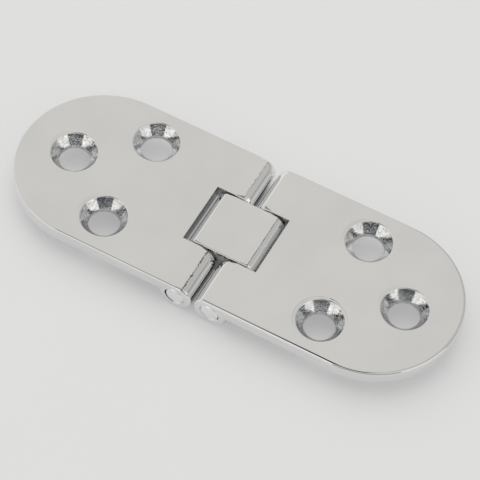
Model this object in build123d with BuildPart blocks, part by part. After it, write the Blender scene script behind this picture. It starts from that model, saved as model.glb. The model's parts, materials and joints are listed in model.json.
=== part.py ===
from build123d import *
from math import sqrt
import os

os.makedirs("parts", exist_ok=True)

# A double-pin hinge for a folding table, in millimetres, lying open and flat.
# X runs along the hinge, Y along its two pins and Z up. The origin is under the middle of the
# hinge, on the surface that the knuckles rest on.

# The two leaves
hinge_length = 80.0  # tip to tip with the hinge open
leaf_width = 30.0
leaf_thickness = 2.6
leaf_edge_round = 0.45  # upper edge of each leaf

# The countersunk screw holes, three in each leaf
screw_hole_diameter = 5.3
screw_cone_diameter = 8.0
screw_cone_angle = 75.0
screw_rim_bevel = 0.15
outer_hole_from_tip = 9.3
inner_holes_from_outer_hole = 10.8  # measured along X
inner_holes_from_edge = 6.3

# The pins and the knuckles round them
pin_spacing = 6.4
pin_diameter = 3.5
pin_end_recess = 0.1  # how far a pin ends inside the side of the leaf
pin_end_chamfer = 0.3
knuckle_gap = 0.4  # between the knuckles of the two leaves
folded_gap = 1.0  # between the top faces with both leaves folded up

# The link between the pins
link_width = 11.2
link_end_extra = 0.15  # the link's round ends reach this much further from the pin than a knuckle
link_edge_bevel = 0.2
link_foot_gap = 0.2  # under the link
link_side_gap = 0.24  # each side of the link, to the leaf's slot
link_end_gap = 0.35  # between the link's round end and the end wall of the slot
pin_running_gap = 0.04  # round each pin in the link

# Sizes that follow from these
pin_x = pin_spacing / 2
pin_radius = pin_diameter / 2
pin_length = leaf_width - 2 * pin_end_recess
knuckle_radius = (pin_spacing - knuckle_gap) / 2
pin_height = knuckle_radius
top_height = pin_height + (pin_spacing - folded_gap) / 2
leaf_underside = top_height - leaf_thickness
knuckle_end_bevel = leaf_edge_round  # the rounded edge of the plate covers it along the flat top
flat_top_half_width = sqrt(knuckle_radius**2 - (top_height - pin_height) ** 2)
plate_start_x = pin_x - flat_top_half_width
link_end_radius = knuckle_radius + link_end_extra
link_height = top_height - link_foot_gap
slot_end_x = pin_x + link_end_radius + link_end_gap
slot_width = link_width + 2 * link_side_gap
outer_hole_x = hinge_length / 2 - outer_hole_from_tip
inner_hole_x = outer_hole_x - inner_holes_from_outer_hole
inner_hole_y = leaf_width / 2 - inner_holes_from_edge

top_plane = Plane.XY.offset(top_height)


def make_knuckle(side):
    """The round part of a leaf about its pin, over the whole width, cut flush with the top face.

    Its outer flank goes straight up from its widest point into the plate, so that nothing overhangs the
    plate's underside. Its two ends are bevelled by a last short length that tapers.
    """
    with BuildPart() as knuckle:
        with BuildSketch(Plane.XZ):
            with Locations((side * pin_x, pin_height)):
                Circle(knuckle_radius)
            with Locations((side * (pin_x + knuckle_radius / 2), pin_height + knuckle_radius / 2)):
                Rectangle(knuckle_radius, knuckle_radius)
        extrude(amount=leaf_width / 2 - knuckle_end_bevel, both=True)
        split(bisect_by=top_plane, keep=Keep.BOTTOM)
        for end_face in knuckle.faces().filter_by(Axis.Y):
            extrude(end_face, amount=knuckle_end_bevel, taper=45)
    return knuckle.part


def make_leaf(side):
    """One leaf with its knuckles: side is -1 for the left leaf and 1 for the right one."""
    plate_length = hinge_length / 2 - plate_start_x
    knuckle = make_knuckle(side)

    with BuildPart() as leaf:
        # Flat plate with a full-round tip and a rounded upper rim, from the knuckle's flat top outwards
        with BuildSketch(Plane.XY.offset(leaf_underside)):
            SlotOverall(hinge_length, leaf_width)
            with Locations((side * (plate_start_x + plate_length / 2), 0)):
                Rectangle(plate_length, leaf_width, mode=Mode.INTERSECT)
        extrude(amount=leaf_thickness)
        top_edges = leaf.faces().sort_by(Axis.Z)[-1].edges()
        fillet(top_edges - top_edges.filter_by(Axis.Y), leaf_edge_round)
        add(knuckle)

        # Square slot that splits the knuckle in two and takes the link
        with BuildSketch(top_plane):
            with Locations((side * slot_end_x / 2, 0)):
                Rectangle(slot_end_x, slot_width)
        extrude(amount=-top_height, mode=Mode.SUBTRACT)

        # Bore for the pin
        with BuildSketch(Plane.XZ):
            with Locations((side * pin_x, pin_height)):
                Circle(pin_radius)
        extrude(amount=leaf_width / 2, both=True, mode=Mode.SUBTRACT)

        # Countersunk screw holes: one near the tip and a pair behind the slot
        hole_places = [
            (side * outer_hole_x, 0),
            (side * inner_hole_x, inner_hole_y),
            (side * inner_hole_x, -inner_hole_y),
        ]
        with Locations(top_plane):
            with Locations(*hole_places):
                CounterSinkHole(
                    screw_hole_diameter / 2,
                    screw_cone_diameter / 2,
                    leaf_thickness,
                    counter_sink_angle=screw_cone_angle,
                )
        rims = leaf.faces().sort_by(Axis.Z)[-1].edges().filter_by(GeomType.CIRCLE)
        chamfer(rims.group_by(SortBy.RADIUS)[0], screw_rim_bevel)

    return leaf.part


def make_pin(side):
    """One pin, held in the knuckles of its leaf, with chamfered ends just inside the sides."""
    with BuildPart() as pin:
        with BuildSketch(Plane.XZ):
            with Locations((side * pin_x, pin_height)):
                Circle(pin_radius)
        extrude(amount=pin_length / 2, both=True)
        chamfer(pin.edges().filter_by(GeomType.CIRCLE), pin_end_chamfer)
    return pin.part


with BuildPart() as centre_link:
    # Section across the pins: both ends round about their pin, cut flat above and below
    with BuildSketch(Plane.XZ):
        with Locations((0, pin_height)):
            SlotCenterToCenter(pin_spacing, 2 * link_end_radius)
        with Locations((0, link_foot_gap + link_height / 2)):
            Rectangle(pin_spacing + 2 * link_end_radius, link_height, mode=Mode.INTERSECT)
    extrude(amount=link_width / 2, both=True)
    chamfer(centre_link.faces().filter_by(Axis.Y).edges(), link_edge_bevel)

    # Running bores for the two pins
    with BuildSketch(Plane.XZ):
        with Locations((-pin_x, pin_height), (pin_x, pin_height)):
            Circle(pin_radius + pin_running_gap)
    extrude(amount=link_width / 2, both=True, mode=Mode.SUBTRACT)

finished_pieces = {
    "left_leaf": make_leaf(-1),
    "right_leaf": make_leaf(1),
    "centre_link": centre_link.part,
    "left_pin": make_pin(-1),
    "right_pin": make_pin(1),
}

for node_name, piece in finished_pieces.items():
    piece.label = node_name
    export_step(piece, f"parts/{node_name}.step")
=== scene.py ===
import json
from functools import partial

import bpy
import numpy as np
from mathutils import Matrix, Vector
from mathutils.geometry import delaunay_2d_cdt


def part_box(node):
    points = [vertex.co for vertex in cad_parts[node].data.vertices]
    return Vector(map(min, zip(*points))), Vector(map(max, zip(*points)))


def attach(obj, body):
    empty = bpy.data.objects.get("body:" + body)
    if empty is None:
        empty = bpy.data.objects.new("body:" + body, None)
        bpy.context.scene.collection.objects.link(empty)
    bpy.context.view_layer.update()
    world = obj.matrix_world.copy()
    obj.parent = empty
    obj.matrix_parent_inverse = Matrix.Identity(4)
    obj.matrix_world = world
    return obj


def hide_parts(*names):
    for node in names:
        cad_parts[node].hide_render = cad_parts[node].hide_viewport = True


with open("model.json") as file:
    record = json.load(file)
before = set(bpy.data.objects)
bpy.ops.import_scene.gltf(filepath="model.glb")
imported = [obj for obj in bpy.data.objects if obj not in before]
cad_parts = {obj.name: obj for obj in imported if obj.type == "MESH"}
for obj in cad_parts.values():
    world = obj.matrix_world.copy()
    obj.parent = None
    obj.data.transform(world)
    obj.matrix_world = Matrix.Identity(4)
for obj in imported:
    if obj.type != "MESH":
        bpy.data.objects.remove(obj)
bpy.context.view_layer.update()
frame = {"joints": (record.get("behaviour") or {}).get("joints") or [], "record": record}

# The two leaves
# Each leaf is one piece of metal: a flat plate with a full-round tip, and two knuckles, one each side of
# the slot for the link. Its edges are tumbled soft, and then it is plated with bright nickel.
MM = 0.001  # one millimetre in metres: all sizes below are in millimetres

leaf_low, leaf_high = (np.array(corner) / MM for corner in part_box("right_leaf"))
link_low, link_high = (np.array(corner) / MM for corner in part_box("centre_link"))
pin_low, pin_high = (np.array(corner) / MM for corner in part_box("right_pin"))
mounts = {mount["name"]: mount for mount in frame["record"]["mounts"]}
joints = {joint["name"]: joint for joint in frame["joints"]}

link_side_play = 0.24  # between the link and each side of the slot
link_end_play = 0.35  # between the link's round end and the end of the slot

top = leaf_high[2]
underside = mounts["right_underside"]["pos_m"][2] / MM
half_width = leaf_high[1]
tip_centre = leaf_high[0] - half_width
pin_centre = np.array(joints["right_pin_fold"]["pos_m"]) / MM
pin_x, _, pin_z = pin_centre
pin_radius = (pin_high[0] - pin_low[0]) / 2
knuckle_radius = pin_z - leaf_low[2]
slot_half = link_high[1] + link_side_play
slot_end = link_high[0] + link_end_play

lower_round = 0.25  # on the lower rim of the plate
lug_round = 0.52  # on the outer ends of the knuckles
far_lug_reach = 1.4  # how far along the pin the rounding of the far ends goes
slot_round = 0.09  # on the slot's edges in the plate
slot_lug_round = 0.5  # on the ends of the knuckles beside the link
slot_lug_reach = 1.1  # how far along the pin that rounding goes
corner_run = 1.6  # length over which the rounding changes from that of the knuckle to that of the plate
bore_round = 0.09  # at the mouths of a pin's bores
bore_flare = 2 * bore_round  # how much wider a bore's mouth is than the bore, all round
bore_count = 72  # points round a bore
arc_step = np.radians(3)  # between two points of an arc

up, down = np.array([0, 0, 1.0]), np.array([0, 0, -1.0])
near, far = np.array([0, -1.0, 0]), np.array([0, 1.0, 0])
outward = np.array([1.0, 0, 0])


def run(points, skin, wall):
    """A stretch of an edge: its points, and at each point the direction out of the skin and of the wall."""
    points = np.atleast_2d(points)
    return points, np.broadcast_to(skin, points.shape), np.broadcast_to(wall, points.shape)


def mitre(first, second):
    """The vector that reaches as far out of both faces: their sum over one plus their dot product."""
    return (first + second) / (1 + first @ second)


def rounded_edges(runs, radii, steps=5, reach=None):
    """Quarter-round strips along a closed edge of several runs, as points and normals.

    At each point the strip is corner - r a - q b + r a cos t + q b sin t, where a points out of the skin,
    b out of the wall, and t goes from 0 to a quarter turn: a quarter ellipse, or a circle where q, the
    reach into the piece behind the wall, is r. Its normal is along q a cos t + r b sin t. Where two runs
    meet, a and b are mitred, so that the strips share their points. r and q may differ from point to point.
    """
    turn = np.linspace(0, np.pi / 2, steps + 1)[:, None]
    strips = []
    for i, (corner, skin, wall) in enumerate(runs):
        before, after = runs[i - 1], runs[(i + 1) % len(runs)]
        a, b = skin.copy(), wall.copy()
        a[0], a[-1] = mitre(before[1][-1], skin[0]), mitre(skin[-1], after[1][0])
        b[0], b[-1] = mitre(before[2][-1], wall[0]), mitre(wall[-1], after[2][0])
        r = np.broadcast_to(radii[i], len(corner))[:, None, None]
        q = np.broadcast_to(reach[i], len(corner))[:, None, None] if reach else r
        a, b = a[:, None], b[:, None]
        points = corner[:, None] + r * a * (np.cos(turn) - 1) + q * b * (np.sin(turn) - 1)
        normals = q * skin[:, None] * np.cos(turn) + r * wall[:, None] * np.sin(turn)
        strips.append((points, normals))
    return strips


def skin_row(strip):
    """The points along the edge of a strip that lies on the skin, where t is 0."""
    return strip[0][:, 0]


def wall_row(strip):
    """The points along the edge of a strip that lies on the wall, where t is a quarter turn."""
    return strip[0][:, -1]


def grid_patch(points, normals):
    """A grid of points, rows by columns, as two triangles to each cell."""
    rows, columns = points.shape[:2]
    index = np.arange(rows * columns).reshape(rows, columns)
    a, b, c, d = index[:-1, :-1], index[1:, :-1], index[1:, 1:], index[:-1, 1:]
    faces = np.concatenate([np.stack(three, -1).reshape(-1, 3) for three in ((a, b, c), (a, c, d))])
    return points.reshape(-1, 3), faces, np.broadcast_to(normals, points.shape).reshape(-1, 3)


def skin_between(first, second):
    """The skin from one strip straight across to another, with the normals that they have there."""
    points, normals = (np.stack([one[:, 0], other[:, 0]], 1) for one, other in zip(first, second))
    return grid_patch(points, normals)


def joined(*pieces):
    """Rows of points one after another, without the points that repeat the one before."""
    points = np.concatenate([np.atleast_2d(piece) for piece in pieces])
    step = np.linalg.norm(points - np.roll(points, 1, 0), axis=1)
    return points[step > 1e-6]


def flat_patch(normal, outline, *holes):
    """A flat face inside an outline and around its holes, by a constrained Delaunay triangulation.

    Each edge goes from a point to the next one, and from the last one of a loop back to its first. The
    triangles whose three corners lie on one hole fill that hole, so they are left out.
    """
    plane = [axis for axis in range(3) if abs(normal[axis]) < 0.5]
    loops = [outline, *holes]
    points = np.concatenate(loops)
    counts = np.array([len(loop) for loop in loops])
    loop_of = np.repeat(np.arange(len(loops)), counts)
    after = np.arange(len(points)) + 1
    after[np.cumsum(counts) - 1] -= counts
    edges = np.stack([np.arange(len(points)), after], 1)
    flat = points[:, plane].tolist()
    _, _, faces, new_to_old, _, _ = delaunay_2d_cdt(flat, edges.tolist(), [], 1, 1e-6)
    old = np.array([source[0] for source in new_to_old])
    faces = old[np.array(faces)]
    loop = loop_of[faces]
    in_a_hole = (loop[:, 0] == loop[:, 1]) & (loop[:, 1] == loop[:, 2]) & (loop[:, 0] > 0)
    return points, faces[~in_a_hole], np.broadcast_to(normal, points.shape)


def soft_profile(corners, radii, steps=4):
    """A line through corners in the plane of radius and height, with each inner corner rounded by an arc.

    The arc of radius r touches both lines at r tan(turn / 2) from the corner. Gives the points and, at
    each, the direction to the left of travel.
    """
    corners = np.array(corners, float)
    ahead = np.diff(corners, axis=0)
    ahead /= np.linalg.norm(ahead, axis=1)[:, None]
    left = np.stack([-ahead[:, 1], ahead[:, 0]], 1)
    points, directions = [corners[0]], [left[0]]
    for corner, radius, a, b, n in zip(corners[1:-1], radii, ahead, ahead[1:], left):
        turn = np.arctan2(a[0] * b[1] - a[1] * b[0], a @ b)
        reach = radius * abs(np.tan(turn / 2))
        centre = corner - reach * a + np.sign(turn) * radius * n
        part = np.linspace(0, turn, steps + 1)
        rolled = n * np.cos(part)[:, None] + np.array([-n[1], n[0]]) * np.sin(part)[:, None]
        points += list(centre - np.sign(turn) * radius * rolled)
        directions += list(rolled)
    return np.array(points + [corners[-1]]), np.array(directions + [left[-1]])


def turned(profile, centre, axis, count, flip=1):
    """A surface turned on a lathe: the profile's radius and height, carried round the axis through centre.

    Each point is centre + radius (side cos u + (axis x side) sin u) + height axis, with u once round.
    """
    points, directions = profile
    axis = np.array(axis, float)
    side = np.array([1.0, 0, 0]) if abs(axis[0]) < 0.5 else np.array([0, 1.0, 0])
    angle = np.linspace(0, 2 * np.pi, count + 1)[:, None]
    radial = side * np.cos(angle) + np.cross(axis, side) * np.sin(angle)
    place = np.array(centre) + points[:, None, :1] * radial + points[:, None, 1:] * axis
    normals = directions[:, None, :1] * radial + directions[:, None, 1:] * axis
    return grid_patch(place, flip * normals)


def circle(centre, axis, radius, count):
    """The ring of points that a lathe's surface has at one radius, without the last one, a repeat."""
    ring = turned((np.array([[radius, 0.0]] * 2), np.zeros((2, 2))), centre, axis, count)[0]
    return ring[:count]


def make_piece(name, patches, materials, side=1):
    """One closed mesh of all the patches, welded where they meet, with the patches' own normals.

    A patch is points, faces and normals, and the number of its material if that isn't the first. side -1
    mirrors it from right to left. Each triangle is turned to agree with its normals.
    """
    mirror = np.array([side, 1, 1])
    start = np.cumsum([0] + [len(patch[0]) for patch in patches])
    points = np.concatenate([patch[0] for patch in patches]) * mirror
    normals = np.concatenate([patch[2] for patch in patches]) * mirror
    faces = np.concatenate([patch[1] + low for patch, low in zip(patches, start)])
    slots = np.concatenate([np.full(len(patch[1]), (*patch, 0)[3]) for patch in patches])
    corners = points[faces]
    facing = np.cross(corners[:, 1] - corners[:, 0], corners[:, 2] - corners[:, 0])
    wrong = (facing * normals[faces].sum(1)).sum(1) < 0
    faces[wrong] = faces[wrong][:, ::-1]
    _, first, welded = np.unique(np.round(points, 4), axis=0, return_index=True, return_inverse=True)
    welded = welded.reshape(-1)[faces]
    kept = (welded != np.roll(welded, 1, 1)).all(1)
    mesh = bpy.data.meshes.new(name)
    mesh.from_pydata((points[first] * MM).tolist(), [], welded[kept].tolist())
    mesh.polygons.foreach_set("material_index", slots[kept].astype(np.int32))
    mesh.polygons.foreach_set("use_smooth", np.ones(kept.sum(), bool))
    loop_normals = normals[faces[kept]].reshape(-1, 3)
    loop_normals /= np.linalg.norm(loop_normals, axis=1)[:, None]
    mesh.normals_split_custom_set(loop_normals.tolist())
    for material in materials:
        mesh.materials.append(material)
    piece = bpy.data.objects.new(name, mesh)
    bpy.context.collection.objects.link(piece)
    return piece


def knuckle_section():
    """Section of a knuckle: the circle about the pin, from the flat top round to the outer flank, then up.

    The circle is pin centre + R (cos t, sin t), from the height of the top face round underneath to t = a
    full turn, and the flank goes straight up from there to the plate's underside.
    """
    first = np.pi - np.arcsin((top - pin_z) / knuckle_radius)
    angle = np.linspace(first, 2 * np.pi, int((2 * np.pi - first) / arc_step) + 1)
    skin = np.stack([np.cos(angle), 0 * angle, np.sin(angle)], 1)
    round_part = pin_centre + knuckle_radius * skin
    flank_top = [[pin_x + knuckle_radius, 0, underside]]
    return np.concatenate([round_part, flank_top]), np.concatenate([skin, [outward]])


cone_half_angle = np.radians(37.5)  # the countersinks are cut at 75 degrees
cone_rim_round = 0.3
cone_foot_round = 0.2
hole_foot_round = 0.2
rim_radius = 4.6  # the flat ring round a countersink goes out to here
foot_radius = 2.95  # and the one round its hole in the underside to here
ring_radius, ring_width, ring_bearing = 4.38, 0.1, np.radians(135)
ring_rows = 13
hole_count = 144  # points round a screw hole


def pressed_ring(x, y, inner_radius, depth, bearing):
    """The flat ring round a hole at x, y, with the shallow groove that the countersink tool pressed in.

    Its height is the top less depth times a bell curve of the distance from the groove's radius, times
    (1/2 + 1/2 cos(angle - bearing)) squared, because the tool leaned towards that bearing. It fades out at
    both edges of the ring by the root of a half sine wave.
    """
    radius = np.linspace(rim_radius, inner_radius, ring_rows)[:, None]
    angle = np.linspace(0, 2 * np.pi, hole_count + 1)[None, :]
    off = (radius - ring_radius) / ring_width
    fade = np.sin(np.pi * (radius - inner_radius) / (rim_radius - inner_radius)) ** 0.5
    fade[[0, -1]] = 0
    lean = (0.5 + 0.5 * np.cos(angle - bearing)) ** 2
    height = -depth * np.exp(-(off**2)) * fade * lean
    slope = np.gradient(height, radius[:, 0], axis=0)
    slope[[0, -1]] = 0
    points = np.stack([x + radius * np.cos(angle), y + radius * np.sin(angle), top + height], -1)
    normals = np.stack([-slope * np.cos(angle), -slope * np.sin(angle), np.ones_like(slope)], -1)
    return grid_patch(points, normals / np.linalg.norm(normals, axis=-1)[..., None])


def leaf_patches(upper_round, ring_depths, bearing):
    """All faces of the right leaf: its top and underside, its rims, walls, slot, knuckles and holes.

    The rounding of the upper rim, and the rings round its three holes, are each leaf's own.
    """
    section, section_skin = knuckle_section()
    crease, flank_foot = section[0, 0], section[-1, 0]

    # The outside rim: up the near knuckle, along the top and round the tip, down the far one, back below
    tip_angle = np.linspace(-np.pi / 2, np.pi / 2, int(np.pi / arc_step) + 1)
    tip_wall = np.stack([np.cos(tip_angle), np.sin(tip_angle), 0 * tip_angle], 1)
    tip_arc = np.array([tip_centre, 0, 0]) + half_width * tip_wall
    lug_tops = np.array([[crease, -half_width, 0], [crease + corner_run, -half_width, 0]])
    upper_path = np.concatenate([lug_tops, tip_arc, lug_tops[::-1] * [1, -1, 1]]) + top * up
    upper_wall = np.concatenate([[near, near], tip_wall, [far, far]])
    lower_path = np.concatenate([[[flank_foot, -half_width, 0]], tip_arc, [[flank_foot, half_width, 0]]])
    lower_path = lower_path[::-1] + underside * up
    lower_wall = np.concatenate([[far], tip_wall[::-1], [near]])
    rim_runs = [
        run((section + half_width * near)[::-1], section_skin[::-1], near),
        run(upper_path, up, upper_wall),
        run(section + half_width * far, section_skin, far),
        run(lower_path, down, lower_wall),
    ]
    upper_radii = np.full(len(upper_path), upper_round)
    lower_radii = np.full(len(lower_path), lower_round)
    upper_radii[[0, -1]] = lower_radii[[0, -1]] = lug_round
    upper_reach, lower_reach = upper_radii.copy(), lower_radii.copy()
    upper_reach[-1] = lower_reach[0] = far_lug_reach
    near_knuckle, upper, far_knuckle, lower = rounded_edges(
        rim_runs, [lug_round, upper_radii, lug_round, lower_radii],
        reach=[lug_round, upper_reach, far_lug_reach, lower_reach],
    )

    # The slot's edge: near knuckle, along the top round the slot's end, far knuckle, back below
    slot_corners = np.array([[slot_end, -slot_half, 0], [slot_end, slot_half, 0]])
    slot_top, slot_bottom = slot_corners + top * up, slot_corners + underside * up
    near_top = [[crease, -slot_half, top], [crease + corner_run, -slot_half, top], slot_top[0]]
    far_top = [slot_top[1], [crease + corner_run, slot_half, top], [crease, slot_half, top]]
    far_bottom = [[flank_foot, slot_half, underside], slot_bottom[1]]
    near_bottom = [slot_bottom[0], [flank_foot, -slot_half, underside]]
    slot_runs = [
        run((section + slot_half * near)[::-1], section_skin[::-1], far),
        run(near_top, up, far),
        run(slot_top, up, -outward),
        run(far_top, up, near),
        run(section + slot_half * far, section_skin, near),
        run(far_bottom, down, near),
        run(slot_bottom[::-1], down, -outward),
        run(near_bottom, down, far),
    ]

    def slot_sizes(at_lug):
        """A size for each run of the slot's edge, which changes from the knuckle's to the plate's."""
        fading = np.array([at_lug, slot_round, slot_round])
        return [at_lug, fading, slot_round, fading[::-1], at_lug, fading[:2], slot_round, fading[1::-1]]

    slot = rounded_edges(slot_runs, slot_sizes(slot_lug_round), 4, reach=slot_sizes(slot_lug_reach))
    near_lug, near_lip, end_lip, far_lip, far_lug, far_foot, end_foot, near_foot = slot

    # The screw holes: countersunk from above, with soft rims that look like the leaf's top and not the cone
    outer = mounts["right_outer_hole"]
    inner = mounts["right_inner_holes"]
    outer_x, inner_x = outer["pos_m"][0] / MM, inner["pos_m"][0] / MM
    inner_y = inner["dims"]["spacing_y_mm"] / 2
    hole_radius = outer["dims"]["r_mm"]
    cone_foot = underside + outer["dims"]["length_mm"]
    cone_radius = hole_radius + (top - cone_foot) * np.tan(cone_half_angle)
    profile_points, profile_normals = soft_profile(
        [(rim_radius, top), (cone_radius, top), (hole_radius, cone_foot), (hole_radius, underside),
         (foot_radius, underside)],
        [cone_rim_round, cone_foot_round, hole_foot_round],
    )
    rim_start, cone_start = 1, 5  # rows of the profile
    rim = profile_points[rim_start:cone_start + 1], profile_normals[rim_start:cone_start + 1]
    cone = profile_points[cone_start:], profile_normals[cone_start:]
    hole_places = (outer_x, 0), (inner_x, inner_y), (inner_x, -inner_y)
    patches, top_rings, bottom_rings = [], [], []
    for (x, y), ring_depth in zip(hole_places, ring_depths):
        patches.append(pressed_ring(x, y, profile_points[rim_start, 0], ring_depth, bearing))
        patches.append(turned(rim, (x, y, 0), up, hole_count, flip=-1))
        patches.append((*turned(cone, (x, y, 0), up, hole_count, flip=-1), 1))
        top_rings.append(circle((x, y, top), up, rim_radius, hole_count))
        bottom_rings.append(circle((x, y, underside), up, foot_radius, hole_count))

    # The flat ends of both knuckles, and the pin's bores through them
    mouth = pin_radius + bore_flare
    bore_profile = soft_profile(
        [(mouth, -half_width), (pin_radius, -half_width), (pin_radius, -slot_half), (mouth, -slot_half)],
        [bore_round, bore_round],
    )
    near_outer = joined(wall_row(near_knuckle), wall_row(upper)[:3], wall_row(lower)[-2:])
    far_outer = joined(wall_row(upper)[-3:], wall_row(far_knuckle), wall_row(lower)[:2])
    near_inner = joined(wall_row(near_lug), wall_row(near_lip), wall_row(near_foot))
    far_inner = joined(wall_row(far_lip), wall_row(far_lug), wall_row(far_foot))
    for wall, outer_end, inner_end in ((near, near_outer, near_inner), (far, far_outer, far_inner)):
        outer_mouth = circle(pin_centre + half_width * wall, -wall, mouth, bore_count)
        inner_mouth = circle(pin_centre + slot_half * wall, -wall, mouth, bore_count)
        patches.append(turned(bore_profile, pin_centre, -wall, bore_count))
        patches.append(flat_patch(wall, outer_end, outer_mouth))
        patches.append(flat_patch(-wall, inner_end, inner_mouth))

    # Skins, walls and flat faces that join the rims
    patches += [skin_between(near_knuckle, near_lug), skin_between(far_knuckle, far_lug)]
    tip_points = np.stack([wall_row(upper)[2:-2], wall_row(lower)[1:-1][::-1]], 1)
    patches.append(grid_patch(tip_points, tip_wall[:, None]))
    patches.append(grid_patch(np.stack([wall_row(end_lip), wall_row(end_foot)[::-1]], 1), -outward))
    slot_lip = [skin_row(strip)[::-1] for strip in (far_lip, end_lip, near_lip)]
    patches.append(flat_patch(up, joined(skin_row(upper), *slot_lip), *top_rings))
    slot_foot = [skin_row(strip)[::-1] for strip in (near_foot, end_foot, far_foot)]
    patches.append(flat_patch(down, joined(skin_row(lower), *slot_foot), *bottom_rings))
    patches += [grid_patch(*strip) for strip in (near_knuckle, upper, far_knuckle, lower, *slot)]
    return patches


def add_node(tree, kind, inputs=None, **settings):
    """A shader node with its settings. Each input is a plain value or another node's output."""
    node = tree.nodes.new("ShaderNode" + kind)
    for key, value in settings.items():
        setattr(node, key, value)
    for key, value in (inputs or {}).items():
        if isinstance(value, bpy.types.NodeSocket):
            tree.links.new(value, node.inputs[key])
        else:
            node.inputs[key].default_value = value
    return node


def maths(tree, operation, *values):
    """The output of one Math node."""
    return add_node(tree, "Math", dict(enumerate(values)), operation=operation).outputs[0]


def ramp(tree, value, low, high, start=0.0, end=1.0, easing="LINEAR"):
    """start + (end - start) (value - low) / (high - low), held between start and end.

    With the easing SMOOTHSTEP it starts and ends without a kink.
    """
    inputs = {"Value": value, "From Min": low, "From Max": high, "To Min": start, "To Max": end}
    return add_node(tree, "MapRange", inputs, interpolation_type=easing).outputs["Result"]


def noise(tree, place, size, detail):
    """A smooth random level, mostly from 0.3 to 0.7, in patches about as wide as size."""
    inputs = {"Vector": place, "Scale": 1 / (size * MM), "Detail": detail}
    return add_node(tree, "TexNoise", inputs).outputs["Fac"]


def blended(tree, amount, first, second):
    """The first colour where amount is 0, the second where it is 1."""
    return add_node(tree, "MixRGB", {"Fac": amount, "Color1": first, "Color2": second}).outputs["Color"]


# Painted shade: a dark ragged line on the top face, where a milling burr by a round end would cast shadow
burr_shade_colour = (0.06, 0.065, 0.07, 1)
burr_shade_strength, burr_shade_weakest = 0.85, 0.45  # how dark it is, and the share of that left where it breaks up
burr_shade_wave, burr_shade_break = 0.45, 0.8  # how long its waves and its breaks are
burr_shade_height = 0.25  # how far below the top face it reaches
burr_shade_fade = 6.0  # how far behind the middle it has faded
# Painted shade in patches near the top of a countersink: its colour, strength and patch size
mouth_shade_colour, mouth_shade_strength, mouth_shade_size = (0.2, 0.21, 0.23, 1), 0.5, 0.8
mouth_shade_low, mouth_shade_high = top - 0.75, top - 0.2  # the painted shade grows from none to full between these heights
pit_size, pit_slope = 0.3, 0.06  # how wide a pit is, and how much more noise takes it to its full depth
few_pits, many_pits = 0.66, 0.5  # what the noise has to pass for a pit, high up and low down
pit_high, pit_low = top - 0.25, top - 0.9
drift_size = 2.0  # how wide the rougher and smoother patches are


def burr_shade_line(tree, place, colour, line_x, width, ragged, far_share):
    """The colour, darkened by painted shade along a ragged line on the top face, for the shadow of a burr
    that milling left by a round end.

    The line is where |x - line_x + ragged (noise - 1/2)| stays under its width, close under the top face. A
    coarser noise breaks it up, and it fades to far_share of its depth on the far side.
    """
    parts = add_node(tree, "SeparateXYZ", {"Vector": place}).outputs
    swing = ramp(tree, noise(tree, place, burr_shade_wave, 3.0), 0.0, 1.0, -ragged * MM / 2, ragged * MM / 2)
    off = maths(tree, "SUBTRACT", maths(tree, "ADD", parts["X"], swing), line_x * MM)
    core = ramp(tree, maths(tree, "ABSOLUTE", off), width * MM, width * MM * 0.4, 0.0, burr_shade_strength)
    high = maths(tree, "GREATER_THAN", parts["Z"], (top - burr_shade_height) * MM)
    broken = ramp(tree, noise(tree, place, burr_shade_break, 2.0), 0.4, 0.52, burr_shade_weakest, 1.0)
    fade = ramp(tree, parts["Y"], 0.0, burr_shade_fade * MM, 1.0, far_share)
    line = maths(tree, "MULTIPLY", core, high)
    mask = maths(tree, "MULTIPLY", line, maths(tree, "MULTIPLY", broken, fade))
    return blended(tree, mask, colour, burr_shade_colour)


def shaded_mouth(tree, place, colour):
    """The colour, darker in patches towards the top of a countersink, by painted shade."""
    height = add_node(tree, "SeparateXYZ", {"Vector": place}).outputs["Z"]
    near_top = ramp(tree, height, mouth_shade_low * MM, mouth_shade_high * MM, 0.0, mouth_shade_strength)
    patchy = ramp(tree, noise(tree, place, mouth_shade_size, 3.0), 0.35, 0.55)
    return blended(tree, maths(tree, "MULTIPLY", near_top, patchy), colour, mouth_shade_colour)


def torn_pits(tree, place, normal, depth):
    """The normal, with small steep-sided pits, more of them lower down, where the tool tore the metal."""
    height = add_node(tree, "SeparateXYZ", {"Vector": place}).outputs["Z"]
    torn = ramp(tree, height, pit_high * MM, pit_low * MM, few_pits, many_pits)
    over = maths(tree, "SUBTRACT", noise(tree, place, pit_size, 1.0), torn)
    pits = ramp(tree, over, 0.0, pit_slope, easing="SMOOTHSTEP")
    inputs = {"Height": pits, "Distance": depth * MM, "Normal": normal}
    return add_node(tree, "Bump", inputs, invert=True).outputs["Normal"]


def plated_metal(name, light, dark, cloud_size, rough, grain_size, grain_height, mark=None, pit_depth=0.0):
    """Bright plating: faint clouds of two tints, a roughness that drifts, and a fine orange-peel grain.

    A mark is a function that paints shade into the colour somewhere. With pit_depth there are torn pits
    too.
    """
    material = bpy.data.materials.new(name)
    material.use_nodes = True
    tree = material.node_tree
    shader = tree.nodes["Principled BSDF"]
    place = add_node(tree, "TexCoord").outputs["Object"]
    clouds = ramp(tree, noise(tree, place, cloud_size, 4.0), 0.35, 0.65)
    colour = blended(tree, clouds, dark, light)
    if mark:
        colour = mark(tree, place, colour)
    tree.links.new(colour, shader.inputs["Base Color"])
    roughness = ramp(tree, noise(tree, place, drift_size, 3.0), 0.0, 1.0, *rough)
    tree.links.new(roughness, shader.inputs["Roughness"])
    grain = noise(tree, place, grain_size, 3.0)
    normal = add_node(tree, "Bump", {"Height": grain, "Distance": grain_height * MM}).outputs["Normal"]
    if pit_depth:
        normal = torn_pits(tree, place, normal, pit_depth)
    tree.links.new(normal, shader.inputs["Normal"])
    shader.inputs["Metallic"].default_value = 1.0
    return material


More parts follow.
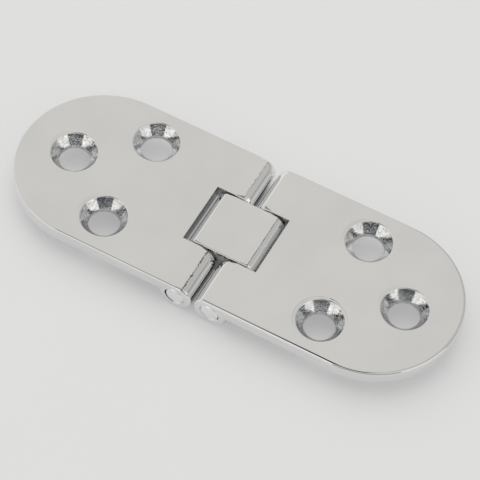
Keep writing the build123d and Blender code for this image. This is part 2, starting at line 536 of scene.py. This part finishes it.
nickel_look = {
    "light": (0.885, 0.89, 0.89, 1), "dark": (0.85, 0.855, 0.86, 1), "cloud_size": 9,
    "rough": (0.04, 0.08), "grain_size": 0.35, "grain_height": 0.001,
}
# The painted burr shade lies just past the line where a knuckle's circle meets the top face, on the left
# leaf
crease_x = pin_x - np.sqrt(knuckle_radius**2 - (top - pin_z) ** 2)
leaf_burr_shade = partial(burr_shade_line, line_x=-crease_x - 0.04, width=0.16, ragged=0.7, far_share=0.4)
nickel = plated_metal("nickel", **nickel_look)
nickel_with_burr_shade = plated_metal("nickel_with_burr_shade", **nickel_look, mark=leaf_burr_shade)
# The countersinks' metal, with painted shade near their tops
cone_metal = plated_metal(
    "countersink", light=(0.97, 0.98, 0.98, 1), dark=(0.7, 0.71, 0.73, 1), cloud_size=0.6,
    rough=(0.02, 0.05), grain_size=0.4, grain_height=0.012, mark=shaded_mouth, pit_depth=0.045,
)

# How deep the ring is round the outer hole, the far one and the near one
left_rings, right_rings = (0.03, 0.012, 0.03), (0.012, 0.02, 0.06)
left_upper_round, right_upper_round = 0.33, 0.5
for leaf_name, body, side, upper_round, rings, skin in (
    ("left_leaf", "left_side", -1, left_upper_round, left_rings, nickel_with_burr_shade),
    ("right_leaf", "right_side", 1, right_upper_round, right_rings, nickel),
):
    patches = leaf_patches(upper_round, rings, ring_bearing if side > 0 else np.pi - ring_bearing)
    leaf = make_piece("plated_" + leaf_name, patches, [skin, cone_metal], side)
    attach(leaf, body)
    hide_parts(leaf_name)

# The centre link
# A short block of the same plated metal that fills the slots of both leaves, level with their top faces.
# Its two ends are round about the pins, and both pins run through its bores.
link_round = 0.2  # along its flat top and foot
link_end_round = 0.45  # along the round ends
link_play = 0.04  # round a pin in its bore
dull_share = 0.5  # how much less of a mirror the dull band is
dull_top, dull_full_top = top - 0.4, top - 0.9  # it grows dull between these heights, going down
dull_full_foot, dull_foot = top - 1.6, top - 2.2  # and bright again between these


def link_patches():
    """All faces of the link: its outline carried across it, two rounded rims, two sides and two bores.

    The outline is a flat top, an arc about each pin, and a flat foot.
    """
    reach = link_high[0] - pin_x
    top_angle = np.arcsin((link_high[2] - pin_z) / reach)
    foot_angle = np.arcsin((link_low[2] - pin_z) / reach)
    angle = np.linspace(top_angle, foot_angle, int((top_angle - foot_angle) / arc_step) + 1)
    skin = np.stack([np.cos(angle), 0 * angle, np.sin(angle)], 1)
    arc = pin_centre + reach * skin
    turn_over = np.array([-1, 1, 1])
    inset_top, inset_foot = arc[0] - corner_run * outward, arc[-1] - 0.5 * corner_run * outward
    stretches = [
        (np.array([arc[0] * turn_over, inset_top * turn_over, inset_top, arc[0]]), up),
        (arc, skin),
        (np.array([arc[-1], inset_foot, inset_foot * turn_over, arc[-1] * turn_over]), down),
        ((arc * turn_over)[::-1], (skin * turn_over)[::-1]),
    ]
    fading = np.array([link_end_round, link_round, link_round, link_end_round])
    half = link_high[1]
    rims = []
    for wall in (near, far):
        runs = [run(points + half * wall, direction, wall) for points, direction in stretches]
        rims.append(rounded_edges(runs, [fading, link_end_round, fading, link_end_round]))
    patches = [grid_patch(*strip) for rim in rims for strip in rim]
    patches += [skin_between(*strips) for strips in zip(*rims)]

    bore = pin_radius + link_play
    mouth = bore + bore_flare
    bore_corners = [(mouth, -half), (bore, -half), (bore, half), (mouth, half)]
    profile = soft_profile(bore_corners, [bore_round, bore_round])
    centres = [pin_centre * turn_over, pin_centre]
    patches += [turned(profile, centre, far, bore_count) for centre in centres]
    for wall, rim in zip((near, far), rims):
        mouths = [circle(centre + half * wall, far, mouth, bore_count) for centre in centres]
        patches.append(flat_patch(wall, joined(*map(wall_row, rim)), *mouths))
    return patches


def dull_band(material):
    """Makes a metal less of a mirror in a band below the top face.

    Metallic is 1 - share x (0 to 1 going down from the band's top) x (0 to 1 going up from its foot).
    """
    tree = material.node_tree
    place = add_node(tree, "TexCoord").outputs["Object"]
    height = add_node(tree, "SeparateXYZ", {"Vector": place}).outputs["Z"]
    deep = ramp(tree, height, dull_top * MM, dull_full_top * MM, 0.0, dull_share)
    shallow = ramp(tree, height, dull_foot * MM, dull_full_foot * MM)
    bright = maths(tree, "SUBTRACT", 1.0, maths(tree, "MULTIPLY", deep, shallow))
    tree.links.new(bright, tree.nodes["Principled BSDF"].inputs["Metallic"])


# A thinner line of painted burr shade lies just past where the link's round end meets its top face
link_crease_x = pin_x + np.sqrt((link_high[0] - pin_x) ** 2 - (link_high[2] - pin_z) ** 2)
link_burr_shade = partial(burr_shade_line, line_x=link_crease_x + 0.03, width=0.07, ragged=0.1, far_share=1.0)
link_nickel = plated_metal("link_nickel", **nickel_look, mark=link_burr_shade)
dull_band(link_nickel)
link = make_piece("plated_centre_link", link_patches(), [link_nickel])
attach(link, "link")
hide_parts("centre_link")

# The two pins
# Plain turned pins, pressed into the knuckles of their own leaf and free in the link. Their ends are
# chamfered and lie just inside the sides of the leaf.
pin_chamfer = 0.3
pin_end_round = 0.08
# Painted shadow in the groove between a pin's end and its bore
groove_shade_colour, groove_shade_size = (0.05, 0.055, 0.06, 1), 1.2
groove_shade_inner, groove_shade_full = pin_radius - 0.22, pin_radius - 0.12  # the painted shadow grows between these radii
groove_shade_start, groove_shade_end = 0.95, 1.1  # and between these values of the formula below
groove_shade_depth = 0.4  # how far it goes in from the end of the pin


def pin_patches():
    """A pin turned on a lathe: flat end, chamfer, shank, chamfer and flat end."""
    half, face = pin_high[1], pin_radius - pin_chamfer
    profile = soft_profile(
        [(0, -half), (face, -half), (pin_radius, pin_chamfer - half), (pin_radius, half - pin_chamfer),
         (face, half), (0, half)],
        [pin_end_round] * 4,
    )
    return [turned(profile, pin_centre, far, bore_count, flip=-1)]


def shaded_groove(tree, place, colour):
    """The colour, darker in an arc on the chamfer of a pin's two ends, by painted shadow in the groove
    between the pin and its bore.

    The arc is on the side away from the middle of the hinge, low on the left pin and high on the right one:
    with x out from the pin's axis and z up on the right pin and down on the left one, it is where
    (x + z / 2) / pin radius + noise is about 1 or more.
    """
    parts = add_node(tree, "SeparateXYZ", {"Vector": place}).outputs
    sideways = maths(tree, "SUBTRACT", maths(tree, "ABSOLUTE", parts["X"]), pin_x * MM)
    upward = maths(tree, "SUBTRACT", parts["Z"], pin_z * MM)
    off_axis = add_node(tree, "CombineXYZ", {"X": sideways, "Y": upward}).outputs["Vector"]
    radius = add_node(tree, "VectorMath", {0: off_axis}, operation="LENGTH").outputs["Value"]
    groove = ramp(tree, radius, groove_shade_inner * MM, groove_shade_full * MM)
    along_pin = maths(tree, "ABSOLUTE", parts["Y"])
    at_end = maths(tree, "GREATER_THAN", along_pin, (pin_high[1] - groove_shade_depth) * MM)
    turned_up = maths(tree, "MULTIPLY", upward, maths(tree, "SIGN", parts["X"]))
    swing = maths(tree, "MULTIPLY_ADD", turned_up, 0.5, sideways)
    arc = maths(tree, "MULTIPLY_ADD", swing, 1 / (pin_radius * MM), noise(tree, place, groove_shade_size, 1.0))
    ring = maths(tree, "MULTIPLY", groove, at_end)
    mask = maths(tree, "MULTIPLY", ring, ramp(tree, arc, groove_shade_start, groove_shade_end))
    return blended(tree, mask, colour, groove_shade_colour)


# The pins' plating, with painted shadow in the groove at their ends
pin_metal = plated_metal(
    "pin_plating", light=(0.98, 1.0, 1.0, 1), dark=(0.95, 0.98, 0.98, 1), cloud_size=2,
    rough=(0.08, 0.14), grain_size=0.35, grain_height=0.002, mark=shaded_groove,
)
for pin_name, body, side in (("left_pin", "left_side", -1), ("right_pin", "right_side", 1)):
    pin = make_piece("plated_" + pin_name, pin_patches(), [pin_metal], side)
    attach(pin, body)
    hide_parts(pin_name)

# The studio
# A pale sheet of paper under the hinge, one soft lamp behind and above it, and pale surroundings that the
# metal mirrors, darker where the camera stands.
floor_half = 600.0
paper_dark, paper_light = (0.79, 0.79, 0.79, 1), (0.81, 0.81, 0.815, 1)
mottle_scale = 60.0  # per metre
paper_roughness = 0.22
glow_colour = (0.835, 0.835, 0.84, 1)
hinge_line = 25.0  # how far the line that the glow is measured from goes each way from the middle
# Two distances from that line, and the paper's share of glow up to the first and from the second on
seen_glow = 13, 17.5, 0.375, 0.495
mirrored_glow = 12, 16, 0.08, 0.385

floor_mesh = bpy.data.meshes.new("floor")
floor_corners = np.array([[-1, -1, 0], [1, -1, 0], [1, 1, 0], [-1, 1, 0]]) * floor_half * MM
floor_mesh.from_pydata(floor_corners.tolist(), [], [(0, 1, 2, 3)])
floor = bpy.data.objects.new("floor", floor_mesh)
bpy.context.collection.objects.link(floor)
paper = bpy.data.materials.new("paper")
paper.use_nodes = True
paper_tree = paper.node_tree
paper_shader = paper_tree.nodes["Principled BSDF"]
paper_shader.inputs["Roughness"].default_value = paper_roughness
paper_place = add_node(paper_tree, "TexCoord").outputs["Object"]
mottle = add_node(paper_tree, "TexNoise", {"Vector": paper_place, "Scale": mottle_scale, "Detail": 3.0})
paper_tint = blended(paper_tree, mottle.outputs["Fac"], paper_dark, paper_light)
paper_tree.links.new(paper_tint, paper_shader.inputs["Base Color"])

# The camera sees the paper glow a little, and so does metal that mirrors it. The glow is less close to the
# hinge, as painted shadow round and under it
floor_parts = add_node(paper_tree, "SeparateXYZ", {"Vector": paper_place}).outputs
past = maths(paper_tree, "SUBTRACT", maths(paper_tree, "ABSOLUTE", floor_parts["X"]), hinge_line * MM)
past_end = maths(paper_tree, "MAXIMUM", past, 0.0)
off_line = add_node(paper_tree, "CombineXYZ", {"X": past_end, "Y": floor_parts["Y"]}).outputs["Vector"]
from_hinge = add_node(paper_tree, "VectorMath", {0: off_line}, operation="LENGTH").outputs["Value"]
seen_share, mirrored_share = (
    ramp(paper_tree, from_hinge, close * MM, away * MM, close_share, away_share, easing="SMOOTHSTEP")
    for close, away, close_share, away_share in (seen_glow, mirrored_glow)
)
ray = add_node(paper_tree, "LightPath").outputs
direct = maths(paper_tree, "MULTIPLY", ray["Is Camera Ray"], seen_share)
share = maths(paper_tree, "MULTIPLY_ADD", ray["Is Glossy Ray"], mirrored_share, direct)
glow = add_node(paper_tree, "Emission", {"Color": glow_colour})
lifted = add_node(paper_tree, "MixShader", {0: share, 1: paper_shader.outputs[0], 2: glow.outputs[0]})
paper_tree.links.new(lifted.outputs[0], paper_tree.nodes["Material Output"].inputs["Surface"])
floor_mesh.materials.append(paper)

# The camera stands in front, to the right of the middle, and looks down at the hinge from above
camera_azimuth, camera_elevation, camera_roll = np.radians([24.782, 55.933, 4.515])
camera_distance = 362.176
aim_right, aim_down = 0.558, 1.813  # how far the view's centre lies from the middle of the top faces
image_size, focal_pixels, sensor = 480, 2222.172, 36.0
nearest_seen, farthest_seen = 10.0, 5000.0

back = np.array([
    np.sin(camera_azimuth) * np.cos(camera_elevation),
    -np.cos(camera_azimuth) * np.cos(camera_elevation),
    np.sin(camera_elevation),
])
level_right = np.cross(-back, up)
level_right /= np.linalg.norm(level_right)
level_up = np.cross(level_right, -back)
right = np.cos(camera_roll) * level_right + np.sin(camera_roll) * level_up
upright = np.cos(camera_roll) * level_up - np.sin(camera_roll) * level_right
camera_place = top * up + aim_right * right - aim_down * upright + camera_distance * back

camera_data = bpy.data.cameras.new("camera")
camera_data.sensor_width = sensor
camera_data.lens = focal_pixels / image_size * sensor
camera_data.clip_start, camera_data.clip_end = nearest_seen * MM, farthest_seen * MM
camera = bpy.data.objects.new("camera", camera_data)
camera_matrix = np.eye(4)
camera_matrix[:3] = np.stack([right, upright, back, camera_place * MM], 1)
camera.matrix_world = Matrix(camera_matrix.tolist())
bpy.context.collection.objects.link(camera)
bpy.context.scene.camera = camera
bpy.context.scene.view_settings.view_transform = "Standard"

# The soft lamp stands behind the hinge, to the left, and high up
lamp_width, lamp_distance = 1100, 800
lamp_watts = 2.3
lamp_turn, lamp_rise = np.radians([18, 62])
lamp_data = bpy.data.lights.new("soft_lamp", "AREA")
lamp_data.shape = "DISK"
lamp_data.size = lamp_width * MM
lamp_data.energy = lamp_watts
lamp = bpy.data.objects.new("soft_lamp", lamp_data)
toward_back = -np.array([back[0], back[1], 0]) / np.hypot(back[0], back[1])
lamp_side = np.cos(lamp_turn) * toward_back - np.sin(lamp_turn) * level_right
lamp_direction = np.cos(lamp_rise) * lamp_side + np.sin(lamp_rise) * up
lamp_tilt = Vector(lamp_direction).to_track_quat("Z", "Y").to_matrix().to_4x4()
lamp.matrix_world = Matrix.Translation(Vector(lamp_distance * MM * lamp_direction)) @ lamp_tilt
lamp.visible_glossy = False
bpy.context.collection.objects.link(lamp)

# Surroundings, by height over the horizon and by the angle from the camera's side
world = bpy.data.worlds.new("surroundings")
world.use_nodes = True
bpy.context.scene.world = world
sky_tree = world.node_tree
sky = sky_tree.nodes["Background"]
direction = add_node(sky_tree, "TexCoord").outputs["Generated"]


def along(vector):
    """How far the looked-in direction goes along a fixed vector."""
    inputs = {0: direction, 1: tuple(vector)}
    return add_node(sky_tree, "VectorMath", inputs, operation="DOT_PRODUCT").outputs["Value"]


def rise(value, low, high):
    """A smooth step from 0 at low to 1 at high, in degrees."""
    return ramp(sky_tree, value, np.radians(low), np.radians(high), easing="SMOOTHSTEP")


def less(first, second):
    """The first value less the second."""
    return maths(sky_tree, "SUBTRACT", first, second)


def both(first, second):
    """The product of two values, so 1 only where both are 1."""
    return maths(sky_tree, "MULTIPLY", first, second)


def band(value, low, low_full, high_full, high):
    """1 from low_full to high_full, with a smooth step down to 0 at low and at high, in degrees."""
    return both(rise(value, low, low_full), less(1.0, rise(value, high_full, high)))


def mixed(amount, first, second):
    """The first level where amount is 0, the second where it is 1."""
    return add_node(sky_tree, "Mix", {0: amount, 2: first, 3: second}, data_type="FLOAT").outputs[0]


elevation = maths(sky_tree, "ARCSINE", along(up))
turn = maths(sky_tree, "ARCTAN2", along(level_right), along(-toward_back))
off_camera = maths(sky_tree, "ABSOLUTE", turn)

# Two tall bright panels stand left and right of the camera, dim at the foot. Between them is a dimmer gap,
# which is darkest in a narrow band about 20 degrees up.
left_panel, right_panel, panel_foot = 1.06, 1.0, 0.2
gap_foot, gap_band, gap_head = 0.33, 0.1, 0.6
panels = mixed(rise(turn, -1, 1), left_panel, right_panel)
panels = mixed(less(1.0, rise(elevation, 6.5, 8)), panels, panel_foot)
gap_level = mixed(rise(elevation, 16, 17.5), gap_foot, mixed(rise(elevation, 21.5, 23), gap_band, gap_head))
panels = mixed(less(1.0, rise(off_camera, 33, 34.5)), panels, gap_level)

# Behind the hinge the walls are pale. The left one is brighter low down, and the right one is dimmer, with
# a dark seam about 13 degrees up.
pale_wall, bright_wall, dim_wall, dark_seam, ceiling = 0.66, 0.85, 0.52, 0.12, 0.6
left_wall = mixed(rise(elevation, 10, 13), bright_wall, pale_wall)
right_wall = mixed(band(elevation, 11.2, 12, 13.5, 14.3), dim_wall, dark_seam)
walls = mixed(rise(turn, -1, 1), left_wall, mixed(rise(turn, 163, 169), right_wall, pale_wall))
level = mixed(rise(off_camera, 80, 84), mixed(rise(elevation, 30, 36), panels, ceiling), walls)

# A dark beam overhead, along the pins and a little to the left, with a dim strip beside it, and a shorter
# dark board on its other side, towards the front
dark_beam, dim_strip, dark_board = 0.02, 0.3, 0.05
lean = maths(sky_tree, "ARCCOSINE", along(outward))
swing = maths(sky_tree, "ARCTAN2", along(far), along(up))
beam = both(band(swing, -39, -37, 6, 8), band(lean, 96.5, 98, 109, 110))
level = mixed(beam, level, mixed(rise(lean, 100.5, 103), dark_beam, dim_strip))
board = both(band(swing, -39, -37, -13, -11), band(lean, 72, 76, 96.5, 98))
level = mixed(board, level, dark_board)
sky_tree.links.new(level, sky.inputs["Strength"])
cool, warm = (0.94, 1.0, 1.07, 1), (1.01, 0.99, 0.945, 1)
sky_tint = blended(sky_tree, ramp(sky_tree, level, 0.1, 0.6), cool, warm)
sky_tree.links.new(sky_tint, sky.inputs["Color"])
